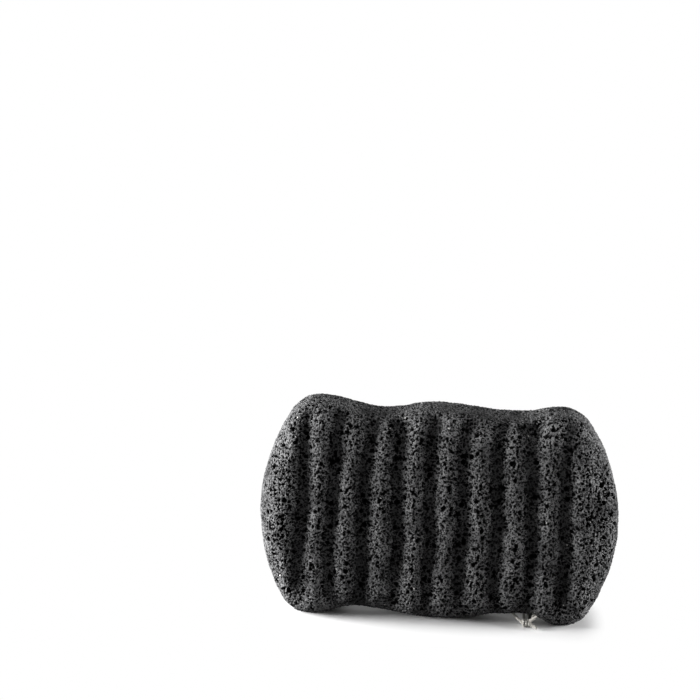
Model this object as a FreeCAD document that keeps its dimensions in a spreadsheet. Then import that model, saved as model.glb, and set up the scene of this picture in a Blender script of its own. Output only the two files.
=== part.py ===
"""Konjac sponge: a ribbed six-wave body sponge on edge, with its twine hanging loop.

Frame: +X along the sponge, -Y out of the ribbed face, +Z up. The origin is under the
middle of the sponge, on the surface that it stands on. All lengths are millimetres.
"""
import FreeCAD, Part
import math
import os

from FreeCAD import Vector

NODES = ("sponge_body", "stitch_cord", "cord_knot", "cord_tails", "hang_loop")

SIZES = {
    # the foam block, end to end and face to face
    "sponge_length": 126.0,
    "sponge_thickness": 31.0,
    "end_height": 37.8,
    "edge_radius": 10.0,
    "crest_trim": 0.15,
    # the three lobes and two waists of the top edge: place as a share of the length, from the
    # middle, and height above the surface
    "top_left_lobe_share": -0.343,
    "top_left_lobe_z": 76.9,
    "top_left_waist_share": -0.158,
    "top_left_waist_z": 73.3,
    "top_mid_lobe_share": -0.0238,
    "top_mid_lobe_z": 75.9,
    "top_right_waist_share": 0.219,
    "top_right_waist_z": 73.8,
    "top_right_lobe_share": 0.336,
    "top_right_lobe_z": 75.9,
    # the same along the bottom edge, whose outer lobes are cut flat where they stand
    "stand_cut_depth": 0.5,
    "bottom_left_lobe_share": -0.3524,
    "bottom_left_waist_share": -0.2175,
    "bottom_left_waist_z": 3.0,
    "bottom_mid_lobe_share": -0.001,
    "bottom_mid_lobe_z": 0.1,
    "bottom_right_waist_share": 0.25,
    "bottom_right_waist_z": 3.4,
    "bottom_right_lobe_share": 0.352,
    # how tightly the outline turns from each outer lobe into the end
    "corner_radius": 12.0,
    # the grooves across the front face: the first one's place, the step to the next and how
    # much each step grows, as shares of the length
    "first_groove_share": -0.373,
    "groove_pitch_share": 0.0881,
    "groove_growth_share": 0.0009,
    "groove_depth": 2.4,
    "last_groove_depth": 0.9,
    "cut_overrun": 5.0,
    # the twine
    "cord_diameter": 1.1,
    "stitch_squeeze": 0.04,
    # the knot: wraps of the twine side by side round the X axis
    "knot_x": 32.5,
    "knot_y": -12.2,
    "knot_lift": 0.05,
    "wrap_radius": 0.95,
    "wrap_spacing": 1.15,
    "knot_clearance": 0.08,
}

GROOVE_COUNT = 10
WRAP_COUNT = 3
EDGE_STEPS = 8
CORD_SIDES = 8
ARC_SHARE = 0.45

# The loop's strands leave the knot this share of a wrap to either side of its middle.
STRAND_SHARE = 2 / 3

# The stitch, from the knot's left end up into the foam, over and down to the knot's right
# end, as chosen points: x and y from the knot's middle, z from the surface.
STITCH_POINTS = (
    (-5.6, 3.8, 3.3),
    (-5.9, 5.8, 9.5),
    (-4.9, 6.4, 16.5),
    (2.6, 6.6, 17.0),
    (3.9, 5.6, 10.6),
    (3.6, 3.6, 4.6),
)

# The hanging loop, out of the knot's right side, back under the waist of the sponge and
# along the surface behind it, and home to the knot's left side: x and y in the frame.
LOOP_POINTS = (
    (33.4, -5.6),
    (33.9, 1.6),
    (33.6, 9.4),
    (32.2, 17.6),
    (27.6, 25.4),
    (19.3, 30.6),
    (8.4, 32.6),
    (-4.0, 31.9),
    (-16.6, 32.4),
    (-28.4, 32.7),
    (-38.2, 29.8),
    (-42.0, 24.6),
    (-38.4, 20.4),
    (-29.0, 20.0),
    (-17.2, 21.3),
    (-5.0, 22.4),
    (7.2, 21.6),
    (18.4, 19.6),
    (27.0, 14.9),
    (31.0, 7.4),
    (31.9, 0.4),
    (31.8, -5.8),
)

# The two cut ends, both out of the knot's right-hand wrap. The root is y and z from the
# knot's middle. The points are x and y from there, and z from the surface. The first end
# lies forward on the surface, and the second stands off the top of the knot.
TAIL_ROOTS = ((-0.98, 0.0), (-0.6, 1.2))
TAIL_POINTS = (
    ((2.9, -1.2, 1.2), (3.6, -4.0, 0.72), (3.25, -6.75, 0.65)),
    ((3.3, -1.0, 3.1), (5.0, -2.1, 2.7)),
)


def new_sheet(doc, sizes):
    """A spreadsheet with one named cell for each size."""
    sheet = doc.addObject("Spreadsheet::Sheet", "Sizes")
    for row, (name, value) in enumerate(sizes.items(), start=1):
        sheet.set(f"A{row}", name)
        sheet.set(f"B{row}", str(value))
        sheet.setAlias(f"B{row}", name)
    doc.recompute()
    return sheet


def toward(start, end, distance):
    """The point that lies a distance from start, on the way to end."""
    return start + (end - start).normalize() * distance


def waves(stations):
    """Arcs through stations (points of one plane) that run level along X at each of them.

    Each crest is joined to the next hollow by two arcs of one radius.
    """
    edges = []
    for start, end in zip(stations, stations[1:]):
        middle = (start + end) / 2
        run = end - start
        fall = Vector(0, run.y, run.z)
        radius = run.Length**2 / (4 * fall.Length)
        down = fall.normalize()
        for station, centre in ((start, start + down * radius), (end, end - down * radius)):
            bulge = toward(centre, (station + middle) / 2, radius)
            first, last = (station, middle) if station is start else (middle, station)
            edges.append(Part.Arc(first, bulge, last).toShape())
    return edges


def end_arcs(lobe, tip, radius):
    """Two arcs from an outer lobe, where the outline is level, to the end, where it is upright."""
    side = math.copysign(1, tip.x - lobe.x)
    rise = math.copysign(1, lobe.z - tip.z)
    run = abs(tip.x - lobe.x)
    drop = abs(lobe.z - tip.z)
    end_radius = (run**2 + (drop - radius) ** 2 - radius**2) / (2 * (run - radius))
    corner = lobe - Vector(0, 0, rise * radius)
    centre = tip - Vector(side * end_radius, 0, 0)
    joint = toward(centre, corner, end_radius)
    shoulder = toward(corner, (lobe + joint) / 2, radius)
    flank = toward(centre, (joint + tip) / 2, end_radius)
    return [Part.Arc(lobe, shoulder, joint).toShape(), Part.Arc(joint, flank, tip).toShape()]


def outline(sheet, inset, depth):
    """The six-wave outline at a depth from front to back, drawn in by an inset."""

    def station(share, height):
        return Vector(share * sheet.sponge_length, depth, height)

    low = inset - sheet.stand_cut_depth
    top = [
        station(sheet.top_left_lobe_share, sheet.top_left_lobe_z - inset),
        station(sheet.top_left_waist_share, sheet.top_left_waist_z - inset),
        station(sheet.top_mid_lobe_share, sheet.top_mid_lobe_z - inset),
        station(sheet.top_right_waist_share, sheet.top_right_waist_z - inset),
        station(sheet.top_right_lobe_share, sheet.top_right_lobe_z - inset),
    ]
    bottom = [
        station(sheet.bottom_left_lobe_share, low),
        station(sheet.bottom_left_waist_share, sheet.bottom_left_waist_z + inset),
        station(sheet.bottom_mid_lobe_share, sheet.bottom_mid_lobe_z + inset),
        station(sheet.bottom_right_waist_share, sheet.bottom_right_waist_z + inset),
        station(sheet.bottom_right_lobe_share, low),
    ]
    left = Vector(inset - sheet.sponge_length / 2, depth, sheet.end_height)
    right = Vector(sheet.sponge_length / 2 - inset, depth, sheet.end_height)
    edges = waves(top) + waves(bottom)
    for lobe, tip in ((top[0], left), (bottom[0], left), (top[-1], right), (bottom[-1], right)):
        edges += end_arcs(lobe, tip, sheet.corner_radius - inset)
    return Part.Wire(Part.sortEdges(edges)[0])


def block_outlines(sheet):
    """The outlines from front to back: they widen round the front edge and narrow round the
    back edge, in steps of one angle."""
    front = -sheet.sponge_thickness / 2 - sheet.crest_trim
    back = sheet.sponge_thickness / 2
    turns = [step * math.pi / 2 / EDGE_STEPS for step in range(EDGE_STEPS + 1)]
    places = []
    for turn in turns:
        inset = sheet.edge_radius * (1 - math.sin(turn))
        sunk = sheet.edge_radius * (1 - math.cos(turn))
        places.append((inset, front + sunk))
        places.append((inset, back - sunk))
    places.sort(key=lambda place: place[1])
    return [outline(sheet, inset, depth) for inset, depth in places]


def ribbed_profile(sheet):
    """A plan of the block behind the grooved front: crests and grooves, then square behind."""
    crest = -sheet.sponge_thickness / 2
    reach = sheet.sponge_length / 2 + sheet.cut_overrun
    back = sheet.sponge_thickness / 2 + sheet.cut_overrun
    low = -sheet.stand_cut_depth - sheet.cut_overrun
    stations = []
    groove = sheet.first_groove_share * sheet.sponge_length
    pitch = sheet.groove_pitch_share * sheet.sponge_length
    growth = sheet.groove_growth_share * sheet.sponge_length
    stations.append(Vector(groove - pitch / 2, crest, low))
    for number in range(GROOVE_COUNT):
        last = number == GROOVE_COUNT - 1
        depth = sheet.last_groove_depth if last else sheet.groove_depth
        stations.append(Vector(groove, crest + depth, low))
        stations.append(Vector(groove + pitch / 2, crest, low))
        groove += pitch
        pitch += growth
    corners = [
        stations[-1],
        Vector(reach, crest, low),
        Vector(reach, back, low),
        Vector(-reach, back, low),
        Vector(-reach, crest, low),
        stations[0],
    ]
    edges = waves(stations) + Part.makePolygon(corners).Edges
    return Part.Face(Part.Wire(Part.sortEdges(edges)[0]))


def route(points):
    """A wire of straight runs joined by tangent arcs, with the arcs' radii."""
    edges = []
    radii = []
    last = points[0]
    for before, point, after in zip(points, points[1:], points[2:]):
        run = min((point - before).Length, (after - point).Length) * ARC_SHARE
        start = toward(point, before, run)
        end = toward(point, after, run)
        half_turn = (point - before).getAngle(after - point) / 2
        radius = run / math.tan(half_turn)
        bisector = ((start + end) / 2 - point).normalize()
        along = point + bisector * (radius / math.cos(half_turn) - radius)
        edges.append(Part.LineSegment(last, start).toShape())
        edges.append(Part.Arc(start, along, end).toShape())
        radii.append(radius)
        last = end
    edges.append(Part.LineSegment(last, points[-1]).toShape())
    return Part.Wire(edges), radii


def tube(points, radius):
    """A many-sided tube along a route, with a flat side down where the route is level."""
    path, radii = route(points)
    ahead = (points[1] - points[0]).normalize()
    across = ahead.cross(Vector(0, 0, 1)).normalize()
    upright = across.cross(ahead)
    corners = []
    for side in range(CORD_SIDES + 1):
        turn = 2 * math.pi * (side + 0.5) / CORD_SIDES
        spoke = across * math.cos(turn) + upright * math.sin(turn)
        corners.append(points[0] + spoke * (radius / math.cos(math.pi / CORD_SIDES)))
    solid = path.makePipeShell([Part.makePolygon(corners)], True, False)
    return solid, path.Length, radii


def report_tube(name, solid, length, radii, radius):
    """Prints a tube's length, arc radii and volume against its section times its length."""
    section = CORD_SIDES * radius**2 * math.tan(math.pi / CORD_SIDES)
    print(f"{name}: length {length:.1f}, volume {solid.Volume:.2f}, {section * length:.2f} plain")
    print(f"{name}: arc radii {' '.join(f'{value:.1f}' for value in radii)}")


def bind(item, **bindings):
    """Sets each property of an object to an expression of the sheet's names."""
    for name, expression in bindings.items():
        item.setExpression(name, expression)
    return item


def feature(doc, name, shape):
    """A document object that holds a shape made here."""
    item = doc.addObject("Part::Feature", name)
    item.Shape = shape
    return item


def knot_middle(sheet):
    """The middle of the knot, whose wraps rest just over the surface."""
    height = sheet.wrap_radius + sheet.cord_diameter / 2 + sheet.knot_lift
    return Vector(sheet.knot_x, sheet.knot_y, height)


def stitch_route(sheet):
    """The stitch's points, with both ends in the knot's outer wraps."""
    knot = knot_middle(sheet)
    half = (WRAP_COUNT - 1) * sheet.wrap_spacing / 2
    inner = [Vector(knot.x + x, knot.y + y, z) for x, y, z in STITCH_POINTS]
    left = knot + Vector(-half, 0, 0)
    right = knot + Vector(half, 0, 0)
    return [left, *inner, right]


def loop_route(sheet):
    """The loop's points. Both strands leave the knot's back with a running clearance."""
    knot = knot_middle(sheet)
    lay = sheet.cord_diameter / 2
    points = [Vector(x, y, lay) for x, y in LOOP_POINTS]
    reach = sheet.wrap_radius + lay + sheet.knot_clearance
    strand = Vector(sheet.wrap_spacing * STRAND_SHARE, 0, 0)
    ends = []
    for axis, point in ((knot + strand, points[0]), (knot - strand, points[-1])):
        aim = Vector(axis.x, point.y, point.z)
        ends.append(toward(axis, aim, reach))
    return [ends[0], *points, ends[1]]


def combined(doc, kind, name, base, tool):
    """A boolean of two objects."""
    item = doc.addObject(kind, name)
    item.Base = base
    item.Tool = tool
    return item


def make_sponge(doc, sheet):
    """The foam: a six-wave block with rounded edges and a grooved front, which is cut flat
    where it stands and pierced by the stitch."""
    outlines = [
        feature(doc, f"outline_{number}", wire)
        for number, wire in enumerate(block_outlines(sheet), start=1)
    ]
    block = doc.addObject("Part::Loft", "rounded_block")
    block.Sections = outlines
    block.Solid = True
    block.Ruled = True

    ribs = doc.addObject("Part::Extrusion", "ribbed_block")
    ribs.Base = feature(doc, "ribbed_plan", ribbed_profile(sheet))
    ribs.DirMode = "Custom"
    ribs.Dir = Vector(0, 0, 1)
    ribs.Solid = True
    bind(ribs, LengthFwd="Sizes.top_left_lobe_z + Sizes.stand_cut_depth + 2 * Sizes.cut_overrun")
    grooved = combined(doc, "Part::Common", "grooved_foam", block, ribs)

    under = doc.addObject("Part::Box", "under_surface")
    bind(
        under,
        Length="Sizes.sponge_length + 2 * Sizes.cut_overrun",
        Width="Sizes.sponge_thickness + 2 * Sizes.cut_overrun",
        Height="Sizes.stand_cut_depth + Sizes.cut_overrun",
    )
    under.setExpression("Placement.Base.x", "-Sizes.sponge_length / 2 - Sizes.cut_overrun")
    under.setExpression("Placement.Base.y", "-Sizes.sponge_thickness / 2 - Sizes.cut_overrun")
    under.setExpression("Placement.Base.z", "-Sizes.stand_cut_depth - Sizes.cut_overrun")
    standing = combined(doc, "Part::Cut", "standing_foam", grooved, under)

    channel, _, _ = tube(stitch_route(sheet), sheet.cord_diameter / 2 - sheet.stitch_squeeze)
    needle = feature(doc, "needle_channel", channel)
    pierced = combined(doc, "Part::Cut", "pierced_foam", standing, needle)
    pierced.Label = "sponge_body"


def make_stitch(doc, sheet):
    """The stretch of twine that goes through the foam, with its two legs to the knot."""
    radius = sheet.cord_diameter / 2
    solid, length, radii = tube(stitch_route(sheet), radius)
    report_tube("stitch_cord", solid, length, radii, radius)
    feature(doc, "stitch", solid).Label = "stitch_cord"


def make_knot(doc, sheet):
    """The knot: wraps of twine side by side, on a core."""
    middle = knot_middle(sheet)
    half = (WRAP_COUNT - 1) * sheet.wrap_spacing / 2
    radius = sheet.cord_diameter / 2
    wraps = []
    for index in range(WRAP_COUNT):
        centre = middle + Vector(index * sheet.wrap_spacing - half, 0, sheet.wrap_radius)
        corners = []
        for side in range(CORD_SIDES + 1):
            turn = 2 * math.pi * (side + 0.5) / CORD_SIDES
            spoke = Vector(math.cos(turn), 0, math.sin(turn))
            corners.append(centre + spoke * (radius / math.cos(math.pi / CORD_SIDES)))
        twine = feature(doc, f"wrap_section_{index + 1}", Part.Face(Part.makePolygon(corners)))
        wrap = doc.addObject("Part::Revolution", f"wrap_{index + 1}")
        wrap.Source = twine
        wrap.Axis = Vector(1, 0, 0)
        wrap.Base = middle
        wrap.Angle = 360
        wraps.append(wrap)
    core = doc.addObject("Part::Cylinder", "knot_core")
    bind(core, Radius="Sizes.wrap_radius", Height=f"{WRAP_COUNT - 1} * Sizes.wrap_spacing")
    along = FreeCAD.Rotation(Vector(0, 0, 1), Vector(1, 0, 0))
    core.Placement = FreeCAD.Placement(middle - Vector(half, 0, 0), along)
    knot = doc.addObject("Part::MultiFuse", "knot")
    knot.Shapes = [core, *wraps]
    knot.Label = "cord_knot"


def make_tails(doc, sheet):
    """The two cut ends of the twine, beyond the knot."""
    knot = knot_middle(sheet)
    radius = sheet.cord_diameter / 2
    half = (WRAP_COUNT - 1) * sheet.wrap_spacing / 2
    solids = []
    for (root_y, root_z), points in zip(TAIL_ROOTS, TAIL_POINTS):
        root = knot + Vector(half, root_y, root_z)
        path = [root, *(Vector(knot.x + x, knot.y + y, z) for x, y, z in points)]
        solid, length, radii = tube(path, radius)
        report_tube(f"cord_tails {len(solids) + 1}", solid, length, radii, radius)
        solids.append(solid)
    feature(doc, "tails", Part.makeCompound(solids)).Label = "cord_tails"


def make_loop(doc, sheet):
    """The hanging loop, which lies behind the sponge."""
    radius = sheet.cord_diameter / 2
    solid, length, radii = tube(loop_route(sheet), radius)
    report_tube("hang_loop", solid, length, radii, radius)
    feature(doc, "loop", solid).Label = "hang_loop"


def check(doc):
    """Stops if an object failed, or if a sub-part has no valid shape."""
    for item in doc.Objects:
        if {"Invalid", "Error"} & set(item.State):
            raise RuntimeError(f"{item.Label} is {item.State}")
    for name in NODES:
        shape = doc.getObjectsByLabel(name)[0].Shape
        if shape.isNull() or not shape.isValid():
            raise RuntimeError(f"{name} has no valid shape")
        box = shape.BoundBox
        print(
            f"{name}: {len(shape.Solids)} solid, {shape.Volume:.1f} mm3,"
            f" x {box.XMin:.2f} to {box.XMax:.2f}, y {box.YMin:.2f} to {box.YMax:.2f},"
            f" z {box.ZMin:.2f} to {box.ZMax:.2f}"
        )


def main():
    doc = FreeCAD.newDocument("KonjacSponge")
    sheet = new_sheet(doc, SIZES)
    make_sponge(doc, sheet)
    make_stitch(doc, sheet)
    make_knot(doc, sheet)
    make_tails(doc, sheet)
    make_loop(doc, sheet)
    doc.recompute()
    check(doc)
    os.makedirs("parts", exist_ok=True)
    for name in NODES:
        doc.getObjectsByLabel(name)[0].Shape.exportStep(f"parts/{name}.step")


main()
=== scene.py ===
# %% [markdown]
# # A konjac body sponge
# A konjac sponge is a block of open foam, cast from konjac root and coloured here with
# charcoal. It is wavy along both long edges and ribbed across its front. A length of cotton
# twine is stitched through it and knotted, so that it can hang up to dry.
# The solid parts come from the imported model. This lesson gives them their looks: first the
# camera and the twine, then the foam with its ribs and pores, then the floor and the light.

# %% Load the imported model
import math

import bmesh
import bpy
import numpy as np
from mathutils import Matrix, Vector


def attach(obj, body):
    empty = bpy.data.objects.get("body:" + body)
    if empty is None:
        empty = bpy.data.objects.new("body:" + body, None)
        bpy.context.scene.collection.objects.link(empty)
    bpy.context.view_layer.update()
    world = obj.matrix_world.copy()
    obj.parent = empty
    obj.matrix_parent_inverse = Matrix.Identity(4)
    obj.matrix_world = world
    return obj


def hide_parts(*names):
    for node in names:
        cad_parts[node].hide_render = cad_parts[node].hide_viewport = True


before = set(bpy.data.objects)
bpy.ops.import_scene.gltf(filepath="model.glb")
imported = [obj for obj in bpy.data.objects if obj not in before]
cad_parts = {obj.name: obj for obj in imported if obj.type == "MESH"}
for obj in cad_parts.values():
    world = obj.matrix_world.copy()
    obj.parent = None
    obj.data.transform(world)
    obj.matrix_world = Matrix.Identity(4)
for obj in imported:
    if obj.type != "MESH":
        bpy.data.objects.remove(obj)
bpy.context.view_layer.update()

MM = 0.001

# %% [markdown]
# ## The camera
# The photograph looks at the sponge from a little above and a little to its right, with the
# camera tilted by about a degree. The focal length is given in pixels of the photograph,
# because the outline was measured in pixels. The camera is then moved so that the middle
# of the sponge lands on its pixel, at the scale that was measured there.

# %% Camera
FRAME_PX = 700
FOCAL_PX = 1540
SENSOR_WIDTH_MM = 36
NEAREST_SEEN = 10 * MM
CAMERA_YAW = math.radians(4.2)
CAMERA_PITCH = math.radians(12.4)
CAMERA_ROLL = math.radians(1.35)
MIDDLE = Vector((0, 0, 38.2)) * MM
MIDDLE_PX = (438.4, 508.9)
METRES_PER_PX = 0.3565 * MM

scene = bpy.context.scene
scene.view_settings.view_transform = "Standard"

camera_data = bpy.data.cameras.new("camera")
camera_data.sensor_width = SENSOR_WIDTH_MM
camera_data.lens = FOCAL_PX / FRAME_PX * SENSOR_WIDTH_MM
camera_data.clip_start = NEAREST_SEEN
camera = bpy.data.objects.new("camera", camera_data)
scene.collection.objects.link(camera)
scene.camera = camera

facing = (
    Matrix.Rotation(CAMERA_YAW, 3, "Z")
    @ Matrix.Rotation(math.pi / 2 - CAMERA_PITCH, 3, "X")
    @ Matrix.Rotation(CAMERA_ROLL, 3, "Z")
)
distance = FOCAL_PX * METRES_PER_PX
offset = Vector(
    (
        (MIDDLE_PX[0] - FRAME_PX / 2) * METRES_PER_PX,
        (FRAME_PX / 2 - MIDDLE_PX[1]) * METRES_PER_PX,
        -distance,
    )
)
camera.matrix_world = Matrix.Translation(MIDDLE - facing @ offset) @ facing.to_4x4()
print(f"camera {distance:.3f} m from the sponge, lens {camera_data.lens:.0f} mm")

# %% [markdown]
# ## Nodes written as Python
# A node tree is easier to read as a formula than as a list of links. The class below wraps
# one output of a node. Sums and products of wrapped outputs add Math nodes, and any other
# node comes from its `node` method. It serves shaders and geometry trees alike.

# %% A small class for node trees
NODES_IN_A_ROW = 12
NODE_WIDTH, NODE_HEIGHT = 180, 220


class Wire:
    """One output socket of a node tree, for use in Python sums."""

    def __init__(self, tree, socket=None):
        self.tree = tree
        self.socket = socket

    def node(self, kind, settings=None, inputs=None, output=0):
        """Adds a node: its settings first, then what its sockets get. Returns one output."""
        made = self.tree.nodes.new(kind)
        row, column = divmod(len(self.tree.nodes), NODES_IN_A_ROW)
        made.location = (NODE_WIDTH * column, -NODE_HEIGHT * row)
        for name, value in (settings or {}).items():
            setattr(made, name, value)
        for name, value in (inputs or {}).items():
            if isinstance(value, Wire):
                self.tree.links.new(value.socket, made.inputs[name])
            else:
                made.inputs[name].default_value = value
        return Wire(self.tree, made.outputs[output])

    def also(self, output):
        """Another output of the same node."""
        return Wire(self.tree, self.socket.node.outputs[output])

    def math(self, operation, *values, clamp=False):
        settings = {"operation": operation, "use_clamp": clamp}
        return self.node("ShaderNodeMath", settings, dict(enumerate(values)))

    def vector(self, operation, *values, output=0):
        settings = {"operation": operation}
        return self.node("ShaderNodeVectorMath", settings, dict(enumerate(values)), output)

    def scaled(self, factor):
        """This vector, made longer or shorter by a factor."""
        inputs = {0: self, "Scale": factor}
        return self.node("ShaderNodeVectorMath", {"operation": "SCALE"}, inputs)

    def __add__(self, other):
        return self.math("ADD", self, other)

    __radd__ = __add__

    def __sub__(self, other):
        return self.math("SUBTRACT", self, other)

    def __rsub__(self, other):
        return self.math("SUBTRACT", other, self)

    def __mul__(self, other):
        return self.math("MULTIPLY", self, other)

    __rmul__ = __mul__

    def __truediv__(self, other):
        return self.math("DIVIDE", self, other)

    def __rtruediv__(self, other):
        return self.math("DIVIDE", other, self)

    def __neg__(self):
        return self.math("MULTIPLY", self, -1)

    def clamped(self):
        return self.math("ADD", self, 0, clamp=True)

    def smooth(self, low, high):
        """0 below low, 1 above high, and an even curve between."""
        inputs = {"Value": self, "From Min": low, "From Max": high}
        return self.node("ShaderNodeMapRange", {"interpolation_type": "SMOOTHSTEP"}, inputs)

    def mix(self, first, second):
        """A colour from first, where this wire is 0, to second, where it is 1."""
        inputs = {0: self, 6: first, 7: second}
        return self.node("ShaderNodeMix", {"data_type": "RGBA"}, inputs, 2)


# %% Helpers for geometry trees
def new_tree(name, sizes):
    """A geometry tree with a named input for each size. Returns it, its group input and
    the identifier of each size's socket."""
    tree = bpy.data.node_groups.new(name, "GeometryNodeTree")
    tree.interface.new_socket("Geometry", in_out="INPUT", socket_type="NodeSocketGeometry")
    tree.interface.new_socket("Geometry", in_out="OUTPUT", socket_type="NodeSocketGeometry")
    identifiers = {}
    for size, value in sizes.items():
        socket = tree.interface.new_socket(size, in_out="INPUT", socket_type="NodeSocketFloat")
        socket.default_value = value
        identifiers[size] = socket.identifier
    return tree, Wire(tree).node("NodeGroupInput"), identifiers


def keep_on_points(geometry, name, value):
    """The geometry with a value kept on its points, under a name that a material can read."""
    settings = {"data_type": "FLOAT", "domain": "POINT"}
    inputs = {"Geometry": geometry, "Name": name, "Value": value}
    return geometry.node("GeometryNodeStoreNamedAttribute", settings, inputs)


def finish_tree(tree, geometry, material):
    """Ends a geometry tree with real mesh that wears a material."""
    real = geometry.node("GeometryNodeRealizeInstances", {}, {"Geometry": geometry})
    inputs = {"Geometry": real, "Material": material}
    finished = geometry.node("GeometryNodeSetMaterial", {}, inputs)
    output = tree.nodes.new("NodeGroupOutput")
    tree.links.new(finished.socket, output.inputs[0])


def mesh_of(thing):
    """The mesh that an object shows, after its modifiers or from its curve."""
    graph = bpy.context.evaluated_depsgraph_get()
    return bpy.data.meshes.new_from_object(thing.evaluated_get(graph), depsgraph=graph)


def applied(piece):
    """The piece with its modifiers turned into plain mesh."""
    mesh = mesh_of(piece)
    piece.modifiers.clear()
    old = piece.data
    piece.data = mesh
    mesh.name = piece.name
    bpy.data.meshes.remove(old)
    return piece


def new_piece(name, data):
    piece = bpy.data.objects.new(name, data)
    scene.collection.objects.link(piece)
    return piece


def grow(piece, tree, identifiers, sizes):
    """Runs a geometry tree on a piece with these sizes, and keeps the mesh."""
    modifier = piece.modifiers.new(tree.name, "NODES")
    modifier.node_group = tree
    for size, value in sizes.items():
        modifier[identifiers[size]] = value
    return applied(piece)


# %% [markdown]
# ## Cotton for the twine
# The twine is undyed cotton: pale and matt. Each of its three strands is spun from fine
# fibres, which run slightly askew along it. A picture of cotton could be wrapped round the
# strands, but its seams would show. The tree for the twine leaves two attributes on the mesh
# instead, the way along the strand and the way round it, and a noise stretched along the
# strand draws the fibres from them.

# %% Cotton material
def new_material(name):
    material = bpy.data.materials.new(name)
    material.use_nodes = True
    tree = material.node_tree
    return material, Wire(tree), tree.nodes["Principled BSDF"]


def feed(tree, shader, **links):
    """Links wires to the sockets of a shader: underscores stand for spaces."""
    for name, wire in links.items():
        tree.links.new(wire.socket, shader.inputs[name.replace("_", " ")])


COTTON = (0.6, 0.585, 0.55, 1)
COTTON_SHADE = (0.34, 0.325, 0.29, 1)
FIBRE_SLANT = 90  # turns round the strand in a metre of it
FIBRES_ROUND = 14  # noise cells round the strand
FIBRES_ALONG = 600  # noise cells in a metre of it
COTTON_DUST = 260.0  # noise cells in a metre

cotton, wire, shader = new_material("cotton twine")
along = wire.node("ShaderNodeAttribute", {"attribute_name": "along"}, output="Fac")
around = wire.node("ShaderNodeAttribute", {"attribute_name": "around"}, output="Fac")
askew = (around + along * FIBRE_SLANT) * FIBRES_ROUND
fibre_place = wire.node("ShaderNodeCombineXYZ", {}, {0: askew, 1: along * FIBRES_ALONG, 2: 0.0})
fibres = wire.node(
    "ShaderNodeTexNoise", {}, {"Vector": fibre_place, "Scale": 1.0, "Detail": 3.0, "Roughness": 0.7}
)
place = wire.node("ShaderNodeTexCoord", output="Object")
dust = wire.node("ShaderNodeTexNoise", {}, {"Vector": place, "Scale": COTTON_DUST, "Detail": 2.0})
shade = (fibres.smooth(0.35, 0.62) * 0.8 + dust.smooth(0.35, 0.7) * 0.2).clamped()
bump = wire.node("ShaderNodeBump", {}, {"Strength": 0.7, "Distance": 0.00006, "Height": fibres})
feed(
    cotton.node_tree,
    shader,
    Base_Color=shade.mix(COTTON_SHADE, COTTON),
    Roughness=shade * 0.1 + 0.82,
    Normal=bump,
)
shader.inputs["Sheen Weight"].default_value = 0.4
shader.inputs["Sheen Roughness"].default_value = 0.5
shader.inputs["Specular IOR Level"].default_value = 0.25
print(f"{cotton.name}: {len(cotton.node_tree.nodes)} nodes")

# %% [markdown]
# ## Laid twine
# Twine is three strands twisted round each other. A plain tube with bumps would look like
# wire, so the strands are real shapes. The tree copies the route three times, turns each
# copy round it as a helix and gives it a round section. It suits any route, so one tree
# makes the loop, the stitch, the knot and the cut ends.

# %% The tree that lays three strands along a line
TWINE_SIZES = {
    "Strand Radius": 0.3 * MM,
    "Strand Offset": 0.245 * MM,
    "Lay Length": 4.2 * MM,
    "Step": 0.3 * MM,
}
STRANDS = 3
STRAND_SIDES = 10


def twine_tree():
    tree, inputs, identifiers = new_tree("Laid twine", TWINE_SIZES)
    wire = Wire(tree)
    line = wire.node("GeometryNodeMeshToCurve", {}, {"Mesh": inputs})
    line = wire.node(
        "GeometryNodeResampleCurve",
        {"mode": "LENGTH"},
        {"Curve": line, "Length": inputs.also("Step")},
    )
    copies = wire.node(
        "GeometryNodeDuplicateElements", {"domain": "SPLINE"}, {"Geometry": line, "Amount": STRANDS}
    )
    length = wire.node("GeometryNodeSplineParameter", output="Length")
    turns = length / inputs.also("Lay Length") + copies.also("Duplicate Index") / STRANDS
    angle = turns * (2 * math.pi)
    tangent = wire.node("GeometryNodeInputTangent")
    normal = wire.node("GeometryNodeInputNormal")
    third = wire.vector("CROSS_PRODUCT", tangent, normal)
    radius = inputs.also("Strand Offset")
    first_part = normal.scaled(angle.math("COSINE", angle) * radius)
    second_part = third.scaled(angle.math("SINE", angle) * radius)
    aside = wire.vector("ADD", first_part, second_part)
    laid = wire.node("GeometryNodeSetPosition", {}, {"Geometry": copies, "Offset": aside})
    laid = keep_on_points(laid, "along", length)
    section = wire.node(
        "GeometryNodeCurvePrimitiveCircle",
        {"mode": "RADIUS"},
        {"Resolution": STRAND_SIDES, "Radius": inputs.also("Strand Radius")},
    )
    way_round = wire.node("GeometryNodeSplineParameter", output="Factor")
    section = keep_on_points(section, "around", way_round)
    strands = wire.node(
        "GeometryNodeCurveToMesh", {}, {"Curve": laid, "Profile Curve": section, "Fill Caps": True}
    )
    finish_tree(tree, strands, cotton)
    return tree, identifiers


laid_twine, twine_identifiers = twine_tree()
print(f"{laid_twine.name}: {len(laid_twine.nodes)} nodes")

# %% Routes and twine
LINE_STEPS = 10


def smooth_line(name, points):
    """The points of a smooth NURBS line whose control points these are, in metres."""
    curve = bpy.data.curves.new(name, "CURVE")
    curve.dimensions = "3D"
    spline = curve.splines.new("NURBS")
    spline.points.add(len(points) - 1)
    for control, point in zip(spline.points, points):
        control.co = (*point, 1)
    spline.order_u = 3
    spline.use_endpoint_u = True
    spline.resolution_u = LINE_STEPS
    holder = new_piece(name, curve)
    mesh = mesh_of(holder)
    line = [vertex.co.copy() for vertex in mesh.vertices]
    bpy.data.objects.remove(holder)
    bpy.data.curves.remove(curve)
    bpy.data.meshes.remove(mesh)
    return line


def in_metres(points_mm):
    return [Vector(point) * MM for point in points_mm]


def line_length(line):
    return sum((second - first).length for first, second in zip(line, line[1:]))


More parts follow.
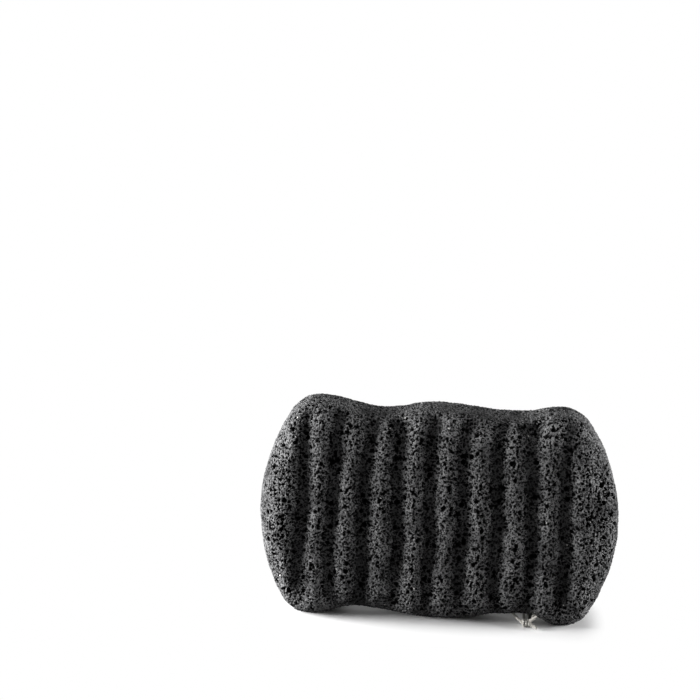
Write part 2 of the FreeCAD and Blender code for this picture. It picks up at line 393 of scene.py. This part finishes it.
def lay_twine(name, lines):
    """Twine along one or more lines, as one mesh."""
    mesh = bpy.data.meshes.new(name)
    points, edges = [], []
    for line in lines:
        edges += [(len(points) + index, len(points) + index + 1) for index in range(len(line) - 1)]
        points += line
    mesh.from_pydata(points, edges, [])
    piece = grow(new_piece(name, mesh), laid_twine, twine_identifiers, TWINE_SIZES)
    for polygon in piece.data.polygons:
        polygon.use_smooth = True
    lengths = [round(line_length(line) / MM, 1) for line in lines]
    print(f"{name}: {lengths} mm of twine, {len(piece.data.polygons)} faces")
    return piece


# %% [markdown]
# ## The hanging loop
# The loop leaves the knot, runs back under the waist of the sponge and lies on the surface
# behind it, where the photograph can't see it. Its control points are those of the solid
# model, 2 to 13 mm apart. The NURBS line rounds between them, as limp twine does.

# %% Hanging loop
KNOT = Vector((32.5, -12.2, 1.55)) * MM
LOOP_POINTS_MM = (
    (33.27, -12.2, 1.4),
    (33.3, -10.2, 0.95),
    (33.4, -5.6, 0.57),
    (33.9, 1.6, 0.57),
    (33.6, 9.4, 0.57),
    (32.2, 17.6, 0.57),
    (27.6, 25.4, 0.57),
    (19.3, 30.6, 0.57),
    (8.4, 32.6, 0.57),
    (-4.0, 31.9, 0.57),
    (-16.6, 32.4, 0.57),
    (-28.4, 32.7, 0.57),
    (-38.2, 29.8, 0.57),
    (-42.0, 24.6, 0.57),
    (-38.4, 20.4, 0.57),
    (-29.0, 20.0, 0.57),
    (-17.2, 21.3, 0.57),
    (-5.0, 22.4, 0.57),
    (7.2, 21.6, 0.57),
    (18.4, 19.6, 0.57),
    (27.0, 14.9, 0.57),
    (31.0, 7.4, 0.57),
    (31.9, 0.4, 0.57),
    (31.8, -5.8, 0.57),
    (31.7, -10.2, 0.95),
    (31.73, -12.2, 1.4),
)
loop_line = smooth_line("loop route", in_metres(LOOP_POINTS_MM))
hanging_loop = lay_twine("hanging_loop", [loop_line])

# %% [markdown]
# ## The stitch
# A needle takes the twine up into the foam on one side of the waist and out again on the
# other. Only the two legs below the foam show: they meet at the knot as a pale V.

# %% Stitch
STITCH_POINTS_MM = (
    (31.35, -12.2, 1.55),
    (26.9, -8.4, 3.3),
    (26.6, -6.4, 9.5),
    (27.6, -5.8, 16.5),
    (35.1, -5.6, 17.0),
    (36.4, -6.6, 10.6),
    (36.1, -8.6, 4.6),
    (33.65, -12.2, 1.55),
)
stitch = lay_twine("stitch", [smooth_line("stitch route", in_metres(STITCH_POINTS_MM))])

# %% [markdown]
# ## The knot and its cut ends
# The knot is three tight turns of the twine round its own strands. A helix gives their
# control points: one formula in place of a long list. Beyond the knot stand the two short
# ends that the scissors left. They are shorter here than in the solid model, and the second
# one leans up to the foam, because the photograph shows no more than that.

# %% Knot
WRAP_RADIUS = 0.95 * MM
WRAP_SPACING = 1.15 * MM
WRAPS = 3
POINTS_PER_WRAP = 12
HELIX_WIDTH = WRAPS - 0.6  # in spacings: the rest of the knot's width is the way in and out
CORNER_ALLOWANCE = 1.03  # a NURBS line passes a little inside its control points


def wrap_points():
    """Control points of the knot's turns, from its left end to its right end."""
    count = WRAPS * POINTS_PER_WRAP
    points = [KNOT + Vector((-WRAPS / 2 * WRAP_SPACING, 0, 0))]
    for index in range(count + 1):
        angle = 2 * math.pi * index / POINTS_PER_WRAP
        across = (index / count - 0.5) * HELIX_WIDTH * WRAP_SPACING
        around = Vector((0, math.cos(angle), math.sin(angle))) * WRAP_RADIUS * CORNER_ALLOWANCE
        points.append(KNOT + around + Vector((across, 0, 0)))
    points.append(KNOT + Vector((WRAPS / 2 * WRAP_SPACING, 0, 0)))
    return points


knot = lay_twine("knot", [smooth_line("knot route", wrap_points())])

# %% Cut ends
TAIL_POINTS_MM = (
    ((33.65, -13.18, 1.55), (35.2, -13.5, 1.2), (35.9, -14.8, 0.8)),
    ((33.65, -12.8, 2.75), (35.1, -13.2, 3.7), (35.9, -13.5, 5.0)),
)
tail_lines = [smooth_line("tail route", in_metres(points)) for points in TAIL_POINTS_MM]
cut_ends = lay_twine("cut_ends", tail_lines)

# %% [markdown]
# ## The foam's shape
# The block is cast in a mould, so its outline is a rule: three lobes and two waists along
# each long edge, joined by arcs, and round ends. The rings below repeat that outline from
# front to back and draw it in round both edges. A voxel remesh then turns the block into
# even squares of about a fifth of a millimetre, small enough to carve pores into.

# %% Outline of the block, in millimetres
LENGTH = 126.0
THICKNESS = 31.0
END_HEIGHT = 37.8
EDGE_RADIUS = 10.0
CORNER_RADIUS = 12.0
TOP_STATIONS = ((-43.2, 76.9), (-19.9, 73.3), (-3.0, 75.9), (27.6, 73.8), (42.3, 75.9))
BOTTOM_STATIONS = ((-44.4, -0.5), (-27.4, 3.0), (-0.1, 0.1), (31.5, 3.4), (44.4, -0.5))


def wave(stations, steps=18):
    """Points along two-arc curves that run level at each station."""
    points = []
    for (x0, z0), (x1, z1) in zip(stations, stations[1:]):
        run, fall = x1 - x0, z1 - z0
        radius = (run**2 + fall**2) / (4 * abs(fall))
        for index in range(steps):
            step = run * index / steps
            near_start = index < steps / 2
            reach = step if near_start else run - step
            rise = math.copysign(radius - math.sqrt(radius**2 - reach**2), fall)
            points.append((x0 + step, z0 + rise if near_start else z1 - rise))
    return points + [stations[-1]]


def end_curve(lobe, tip, radius, steps=14):
    """Points from an outer lobe round its corner to the end's middle."""
    side = math.copysign(1, tip[0] - lobe[0])
    rise = math.copysign(1, lobe[1] - tip[1])
    run, drop = abs(tip[0] - lobe[0]), abs(lobe[1] - tip[1])
    end_radius = (run**2 + (drop - radius) ** 2 - radius**2) / (2 * (run - radius))
    meeting = math.atan2(drop - radius, end_radius - run)
    points = []
    for angle in np.linspace(math.pi / 2, meeting, steps, endpoint=False)[1:]:
        x = lobe[0] + side * radius * math.cos(angle)
        points.append((x, lobe[1] + rise * radius * (math.sin(angle) - 1)))
    for angle in np.linspace(meeting, 0, steps):
        x = tip[0] + side * end_radius * (math.cos(angle) - 1)
        points.append((x, tip[1] + rise * end_radius * math.sin(angle)))
    return points


def outline(inset):
    """The outline drawn in by an inset, once round from the top left lobe."""
    top = [(x, z - inset) for x, z in TOP_STATIONS]
    bottom = [(x, z + inset) for x, z in BOTTOM_STATIONS]
    left, right = (inset - LENGTH / 2, END_HEIGHT), (LENGTH / 2 - inset, END_HEIGHT)
    radius = CORNER_RADIUS - inset
    ends = [end_curve(*pair, radius) for pair in ((top[-1], right), (bottom[-1], right))]
    ends += [end_curve(*pair, radius) for pair in ((bottom[0], left), (top[0], left))]
    return (
        wave(top) + ends[0] + ends[1][-2::-1] + wave(bottom)[::-1] + ends[2] + ends[3][-2::-1]
    )


# %% Block of foam
CREST_TRIM = 0.15
EDGE_STEPS = 10
VOXEL = 0.22


def block_mesh():
    """The block without ribs or pores, in millimetres."""
    places = []
    for turn in np.linspace(0, math.pi / 2, EDGE_STEPS + 1):
        inset, sunk = EDGE_RADIUS * (1 - math.sin(turn)), EDGE_RADIUS * (1 - math.cos(turn))
        places.append((-THICKNESS / 2 - CREST_TRIM + sunk, inset))
        places.append((THICKNESS / 2 - sunk, inset))
    block = bmesh.new()
    rings = []
    for depth, inset in sorted(places):
        rings.append([block.verts.new((x, depth, z)) for x, z in outline(inset)])
    for first, second in zip(rings, rings[1:]):
        for index in range(len(first)):
            after = (index + 1) % len(first)
            block.faces.new((first[index], first[after], second[after], second[index]))
    block.faces.new(rings[0])
    block.faces.new(rings[-1][::-1])
    bmesh.ops.recalc_face_normals(block, faces=block.faces)
    mesh = bpy.data.meshes.new("foam")
    block.to_mesh(mesh)
    block.free()
    return mesh


foam = new_piece("foam", block_mesh())
remesh = foam.modifiers.new("squares", "REMESH")
remesh.mode = "VOXEL"
remesh.voxel_size = VOXEL
applied(foam)
print(f"foam block: {len(foam.data.polygons)} squares of {VOXEL} mm")

# %% [markdown]
# ## A flat map
# The foam gets a flat map, onto which colours can be baked. A dense mesh is slow to unwrap,
# but a block is easy: each square goes to the side of the block that it faces, and the six
# sides lie apart from each other on one sheet.

# %% Flat map of the six sides
SIDE_GAP = 3.0


def box_map(mesh):
    """Adds the map. Each side keeps its own true size, in millimetres, on one square sheet."""
    places = np.empty(len(mesh.vertices) * 3, np.float32)
    mesh.vertices.foreach_get("co", places)
    places = places.reshape(-1, 3) + (LENGTH / 2, THICKNESS / 2, 0)
    normals = np.empty(len(mesh.polygons) * 3, np.float32)
    mesh.polygons.foreach_get("normal", normals)
    normals = normals.reshape(-1, 3)
    axis = np.abs(normals).argmax(1)
    positive = normals[np.arange(len(axis)), axis] > 0
    totals = np.empty(len(mesh.polygons), np.int32)
    mesh.polygons.foreach_get("loop_total", totals)
    axis, positive = np.repeat(axis, totals), np.repeat(positive, totals)
    corners = np.empty(len(mesh.loops), np.int32)
    mesh.loops.foreach_get("vertex_index", corners)
    x, y, z = places[corners].T
    row = TOP_STATIONS[0][1] + SIDE_GAP
    lane = THICKNESS + SIDE_GAP
    across = np.where(axis == 0, LENGTH + SIDE_GAP + y, x)
    top_or_bottom = 2 * row + y + np.where(positive, lane, 0)
    up = np.select([axis == 2, positive], [top_or_bottom, z + row], z)
    sheet = 2 * row + 2 * lane + SIDE_GAP
    flat = mesh.uv_layers.new(name="OFBake")
    flat.data.foreach_set("uv", ((np.stack([across, up], 1) + SIDE_GAP / 2) / sheet).ravel())
    print(f"map: six sides on a sheet of {sheet:.0f} mm")


box_map(foam.data)

# %% [markdown]
# ## Charcoal foam
# Konjac foam is a net of fine struts with open pores. Charcoal makes it near black, but the
# struts catch the light, so it looks grey on the crests and black in the pores. The tree
# that carves the pores leaves two attributes on the mesh: how deep a pore is, and how near
# the surface is to a strut between cells. The colour follows both: it paints shade into the
# pores, darker the deeper they are, and paints a highlight onto the struts. The cells that
# are finer than the mesh come from a Voronoi texture here, as dark dots of painted shade,
# and so does a white speck now and then.

# %% Foam material
FOAM_WALL = (0.05, 0.05, 0.052, 1)
FOAM_DARK = (0.01, 0.01, 0.011, 1)
# painted highlight: the pale grey that the struts show where they catch the light
FOAM_STRUT_HIGHLIGHT = (0.275, 0.275, 0.277, 1)
# painted shade: near black, put into the pores where the shade inside them falls
PAINTED_PORE_SHADE = (0.0045, 0.0045, 0.0045, 1)
SPECK = (0.75, 0.74, 0.72, 1)
# noise or cells in a metre
WALL_CLOUDS = 900.0
STRUT_PATCHES = 120.0
FINE_WEB = 1500.0
FINE_CELLS = 1450.0
SPECK_CELLS = 400.0
WEB_NARROWNESS = 9
SPECK_SIZE = 0.13  # in cells
SPECK_SHARE = 0.05  # of the cells

charcoal, wire, shader = new_material("charcoal foam")
place = wire.node("ShaderNodeTexCoord", output="Object")
pit = wire.node("ShaderNodeAttribute", {"attribute_name": "pit"}, output="Fac")
strut = wire.node("ShaderNodeAttribute", {"attribute_name": "strut"}, output="Fac")
cloud = wire.node("ShaderNodeTexNoise", {}, {"Vector": place, "Scale": WALL_CLOUDS, "Detail": 3.0})
patch = wire.node(
    "ShaderNodeTexNoise", {}, {"Vector": place, "Scale": STRUT_PATCHES, "Detail": 2.0}
)
web = wire.node(
    "ShaderNodeTexNoise",
    {},
    {"Vector": place, "Scale": FINE_WEB, "Detail": 2.0, "Roughness": 0.6, "Distortion": 0.6},
)
ridge = (1 - web.math("ABSOLUTE", web - 0.5) * WEB_NARROWNESS).clamped()
cells = wire.node("ShaderNodeTexVoronoi", {"feature": "F1"}, {"Vector": place, "Scale": FINE_CELLS})
chance = wire.node("ShaderNodeSeparateColor", {}, {"Color": cells.also("Color")})
# a mask of pores finer than the mesh; it also sinks the bump
small_pore = (chance * 0.2 + 0.34 - cells).smooth(-0.05, 0.12)
# painted highlight: where the struts of the fine web and of the cells catch the light
strut_highlight = (ridge * 0.6 + strut * 0.5).clamped() * (1 - small_pore) * patch.smooth(0.1, 0.7)
wall = cloud.smooth(0.3, 0.7).mix(FOAM_DARK, FOAM_WALL)
# painted highlight on the struts, over the walls
with_strut_highlight = (strut_highlight * 0.8).mix(wall, FOAM_STRUT_HIGHLIGHT)
# painted shade: pores finer than the mesh are dark dots of colour, not holes
fine = (small_pore * 0.75).mix(with_strut_highlight, PAINTED_PORE_SHADE)
# painted shade: the deeper the pore, the nearer its colour comes to near black
with_pore_shade = pit.smooth(0.06, 0.5).mix(fine, PAINTED_PORE_SHADE)
specks = wire.node(
    "ShaderNodeTexVoronoi",
    {"feature": "F1"},
    {"Vector": place, "Scale": SPECK_CELLS, "Randomness": 1.0},
)
lucky = wire.node("ShaderNodeSeparateColor", {}, {"Color": specks.also("Color")})
speck = specks.math("LESS_THAN", specks, SPECK_SIZE) * lucky.math("LESS_THAN", lucky, SPECK_SHARE)
bump = wire.node(
    "ShaderNodeBump",
    {},
    {"Strength": 0.8, "Distance": 0.0003, "Height": ridge * 0.3 + cloud * 0.5 - small_pore},
)
feed(
    charcoal.node_tree,
    shader,
    Base_Color=speck.mix(with_pore_shade, SPECK),
    Roughness=cloud * 0.2 + 0.7,
    Normal=bump,
)
shader.inputs["Specular IOR Level"].default_value = 0.3
print(f"{charcoal.name}: {len(charcoal.node_tree.nodes)} nodes")

# %% [markdown]
# ## Ribs
# Ten grooves run down the front, a little further apart to the right, and wander as cast
# foam does. They could be modelled one by one, but they follow a rule, so a tree makes them.
# It numbers the grooves across the block and pushes the surface in along its own normal, by
# a cosine of that number. It pushes less where the block turns away from the front, and
# less near the bottom, where the ribs run out.

# %% Sizes of the foam, lengths in millimetres
FOAM_SIZES = {
    "Groove Depth": 2.4,
    "Last Groove Depth": 1.0,
    "First Groove": -47.5,
    "Pitch": 11.1,
    "Pitch Growth": 0.1,
    "Grooves": 10.0,
    "Wander": 2.4,
    "Lumps": 0.9,
    "Grain": 0.42,
    "Seed": 11.0,
}

# %% What the foam tree measures
# noise cells in a millimetre
WANDER_CELLS = 0.035
DEPTH_CELLS = 0.06
WARP_CELLS = 0.45
LUMP_CELLS = 0.13
GRAIN_CELLS = 1.6


def split(vector):
    """The parts of a vector: this output is X."""
    return vector.node("ShaderNodeSeparateXYZ", {}, {0: vector})


def shifted(wire, inputs):
    """The position, moved by the seed so that another seed gives another foam."""
    return wire.vector("ADD", wire.node("GeometryNodeInputPosition"), inputs.also("Seed"))


def noise(wire, inputs, cells, detail, output=0):
    """Noise over the foam, from about 0 to 1, or as a colour from output 1."""
    settings = {"Vector": shifted(wire, inputs), "Scale": cells, "Detail": detail}
    return wire.node("ShaderNodeTexNoise", {}, settings, output)


# %% Grooves
MIDDLE_HEIGHT = 38
LEAN_ENDS = (60, -60)
LEAN_LEFT = 0.03  # a groove's shift for each millimetre of height, near the left end
LEAN_RIGHT = -0.005
LAST_GROOVE = (8.4, 8.6)  # from here on, a groove counts as the last
LEAST_DEPTH, DEPTH_SPREAD = 0.55, 0.9  # shares of the groove's depth
FRONT_FACING = (0.1, 0.6)
FOOT_HEIGHT = 14


def grooved(wire, inputs, normal):
    """The block with its grooves."""
    x = split(wire.node("GeometryNodeInputPosition"))
    z = x.also("Z")
    drift = (noise(wire, inputs, WANDER_CELLS, 1.0) - 0.5) * 2 * inputs.also("Wander")
    lean = (z - MIDDLE_HEIGHT) * (x.smooth(*LEAN_ENDS) * (LEAN_LEFT - LEAN_RIGHT) + LEAN_RIGHT)
    start, pitch, growth = (
        inputs.also(name) for name in ("First Groove", "Pitch", "Pitch Growth")
    )
    level = pitch - growth / 2
    reach = (x + drift - lean - start) * growth * 2 + level * level
    number = (reach.math("SQRT", reach.math("MAXIMUM", reach, 0)) - level) / growth
    among = number.math("GREATER_THAN", number, -0.5) * number.math(
        "LESS_THAN", number, inputs.also("Grooves") - 0.5
    )
    hollow = (number.math("COSINE", number * (2 * math.pi)) * 0.5 + 0.5) * among
    deep = inputs.also("Groove Depth")
    depth = deep + number.smooth(*LAST_GROOVE) * (inputs.also("Last Groove Depth") - deep)
    depth = depth * (noise(wire, inputs, DEPTH_CELLS, 1.0) * DEPTH_SPREAD + LEAST_DEPTH)
    forward = (-split(normal).also("Y")).smooth(*FRONT_FACING) * z.smooth(0, FOOT_HEIGHT)
    inward = normal.scaled(-(depth * hollow * forward))
    return wire.node("GeometryNodeSetPosition", {}, {"Geometry": inputs, "Offset": inward})


# %% [markdown]
# ## Pores
# The pores are bubbles that the foam cast round, in three sizes. Each size is a Voronoi
# texture, whose cells have their own centres and their own chance numbers: one sets the
# bubble's radius, another whether there is one. The surface is sunk into the bubbles that
# it meets. Noise roughens what is left and gives the block its soft lumps. Real holes,
# rather than dark dots, keep their shade from every side and are part of the mesh itself.

# %% Pores
# cell, least and greatest radius, share of cells with a pore, depth; lengths in millimetres
PORES = (
    (2.8, 0.6, 0.95, 0.5, 2.4),
    (1.75, 0.42, 0.66, 0.7, 1.6),
    (1.15, 0.34, 0.5, 1.0, 0.9),
)
SCATTER = 0.85
WARP = 0.6
STRUT_EDGE = (0.05, 0.32)


def pores(wire, inputs):
    """How deep a pore is at each point, and how near the point is to a strut."""
    warp = noise(wire, inputs, WARP_CELLS, 1.0, output=1)
    warp = wire.vector("SUBTRACT", warp, (0.5, 0.5, 0.5)).scaled(WARP)
    bent = wire.vector("ADD", shifted(wire, inputs), warp)

    def bubbles(cell, feature):
        settings = {"Vector": bent, "Scale": 1 / cell, "Randomness": SCATTER}
        return wire.node("ShaderNodeTexVoronoi", {"feature": feature}, settings)

    pit = None
    for cell, least, most, share, depth in PORES:
        centre = bubbles(cell, "F1")
        chance = split(centre.also("Color"))
        radius = chance * (most - least) + least
        near = (1 - centre * cell / radius).clamped()
        near = near.math("SQRT", near) * chance.math("LESS_THAN", chance.also("Y"), share)
        pore = near * depth
        pit = pore if pit is None else pit.math("MAXIMUM", pit, pore)
    finest = PORES[-1][0]
    strut = 1 - (bubbles(finest, "DISTANCE_TO_EDGE") * finest).smooth(*STRUT_EDGE)
    return pit, strut


def standing(wire, geometry):
    """The geometry with nothing below the surface that it stands on."""
    x = split(wire.node("GeometryNodeInputPosition"))
    height = x.also("Z")
    above = height.math("MAXIMUM", height, 0)
    place = wire.node("ShaderNodeCombineXYZ", {}, {0: x, 1: x.also("Y"), 2: above})
    return wire.node("GeometryNodeSetPosition", {}, {"Geometry": geometry, "Position": place})


# %% The tree that carves the foam
def foam_tree():
    tree, inputs, identifiers = new_tree("Foam", FOAM_SIZES)
    wire = Wire(tree)
    normal = wire.node("GeometryNodeInputNormal")
    carved = grooved(wire, inputs, normal)
    pit, strut = pores(wire, inputs)
    carved = keep_on_points(carved, "pit", pit)
    carved = keep_on_points(carved, "strut", strut)
    grain = (noise(wire, inputs, GRAIN_CELLS, 2.0) - 0.5) * 2 * inputs.also("Grain")
    lumps = (noise(wire, inputs, LUMP_CELLS, 1.0) - 0.5) * inputs.also("Lumps")
    push = normal.scaled(grain + lumps - pit)
    carved = wire.node("GeometryNodeSetPosition", {}, {"Geometry": carved, "Offset": push})
    finish_tree(tree, standing(wire, carved), charcoal)
    return tree, identifiers


carve, foam_identifiers = foam_tree()
grow(foam, carve, foam_identifiers, FOAM_SIZES)
foam.data.transform(Matrix.Scale(MM, 4))
foam.data.polygons.foreach_set("use_smooth", [True] * len(foam.data.polygons))
foam_size = [round(side / MM, 1) for side in foam.dimensions]
print(f"foam: {len(foam.data.polygons)} faces, {foam_size} mm")

# %% [markdown]
# ## What each piece rides on
# The knot, the stitch and the cut ends go with the foam. On the real sponge the loop swings
# about the knot, so here it rides on its own body.

# %% Bodies
for piece in (foam, stitch, knot, cut_ends):
    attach(piece, "sponge")
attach(hanging_loop, "loop")
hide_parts("sponge_body")
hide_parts("stitch_cord")
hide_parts("cord_knot")
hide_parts("cord_tails")
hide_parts("hang_loop")

# %% [markdown]
# ## Floor
# The floor is plain and pale. The camera sees it run out to white, but near the sponge it
# keeps the soft shadow. How near is measured from the line that the sponge stands along,
# and past its ends the way counts more. To other rays than the camera's, the floor is
# darker, so it doesn't fill the grooves with light.

# %% Floor
WHITE = (1, 1, 1, 1)
UNSEEN_FLOOR = (0.15, 0.15, 0.15, 1)
FLOOR_SIZE = 6  # metres
SHADOW_FADE = (12 * MM, 34 * MM)
LINE_END = 48 * MM
END_WEIGHT = 2.5

floor_material, wire, shader = new_material("pale floor")
shader.inputs["Roughness"].default_value = 0.9
shader.inputs["Specular IOR Level"].default_value = 0.0
place = wire.node("ShaderNodeTexCoord", output="Object")
past_end = wire.vector("SUBTRACT", wire.vector("ABSOLUTE", place), (LINE_END, 0, 0))
past_end = wire.vector("MAXIMUM", past_end, (0, 0, 0))
past_end = wire.vector("MULTIPLY", past_end, (END_WEIGHT, 1, 1))
away = wire.vector("LENGTH", past_end, output="Value")
seen = wire.node("ShaderNodeLightPath", output="Is Camera Ray")
feed(floor_material.node_tree, shader, Base_Color=seen.mix(UNSEEN_FLOOR, WHITE))
plain = wire.node("ShaderNodeEmission", {}, {"Color": WHITE, "Strength": 1.0})
shaded = Wire(floor_material.node_tree, shader.outputs[0])
blend = wire.node(
    "ShaderNodeMixShader", {}, {0: away.smooth(*SHADOW_FADE) * seen, 1: shaded, 2: plain}
)
output = floor_material.node_tree.nodes["Material Output"]
floor_material.node_tree.links.new(blend.socket, output.inputs["Surface"])

bpy.ops.mesh.primitive_plane_add(size=FLOOR_SIZE)
floor = bpy.context.object
floor.name = "floor"
floor.data.materials.append(floor_material)
print(f"floor: white from {SHADOW_FADE[1] / MM:.0f} mm off the sponge's line")

# %% [markdown]
# ## Light
# Light from the front would flatten the ribs, so it comes from above and from low lamps at
# the two ends, the left one brighter. It rakes over the ribs, and leaves their right flanks
# dark. A weak lamp behind lights the floor under the waists. The world is white to the
# camera, and a faint glow to everything else.

# %% Light
WORLD_GLOW = 0.08

world = bpy.data.worlds.new("studio")
scene.world = world
world.use_nodes = True
wire = Wire(world.node_tree)
seen = wire.node("ShaderNodeLightPath", output="Is Camera Ray")
strength = seen * (1 - WORLD_GLOW) + WORLD_GLOW
background = world.node_tree.nodes["Background"]
world.node_tree.links.new(strength.socket, background.inputs["Strength"])
background.inputs["Color"].default_value = WHITE


def lamp(name, place_mm, aim_mm, size_mm, watts):
    """A soft lamp, so wide and so high, at a place and turned to a point."""
    data = bpy.data.lights.new(name, "AREA")
    data.shape = "RECTANGLE"
    data.size, data.size_y = (size * MM for size in size_mm)
    data.energy = watts
    light = bpy.data.objects.new(name, data)
    scene.collection.objects.link(light)
    light.location = Vector(place_mm) * MM
    aim = Vector(aim_mm) * MM - light.location
    light.rotation_euler = aim.to_track_quat("-Z", "Y").to_euler()
    print(f"{name} lamp: {watts} W, {aim.length:.2f} m away")


lamp("top", (0, 30, 750), (0, 0, 0), (400, 300), 1.2)
lamp("left side", (-700, -25, 140), (0, 0, 45), (450, 180), 22)
lamp("right side", (650, 0, 110), (0, 0, 40), (350, 140), 7.5)
lamp("low back", (-120, 600, 90), (0, 0, 0), (300, 160), 3.2)
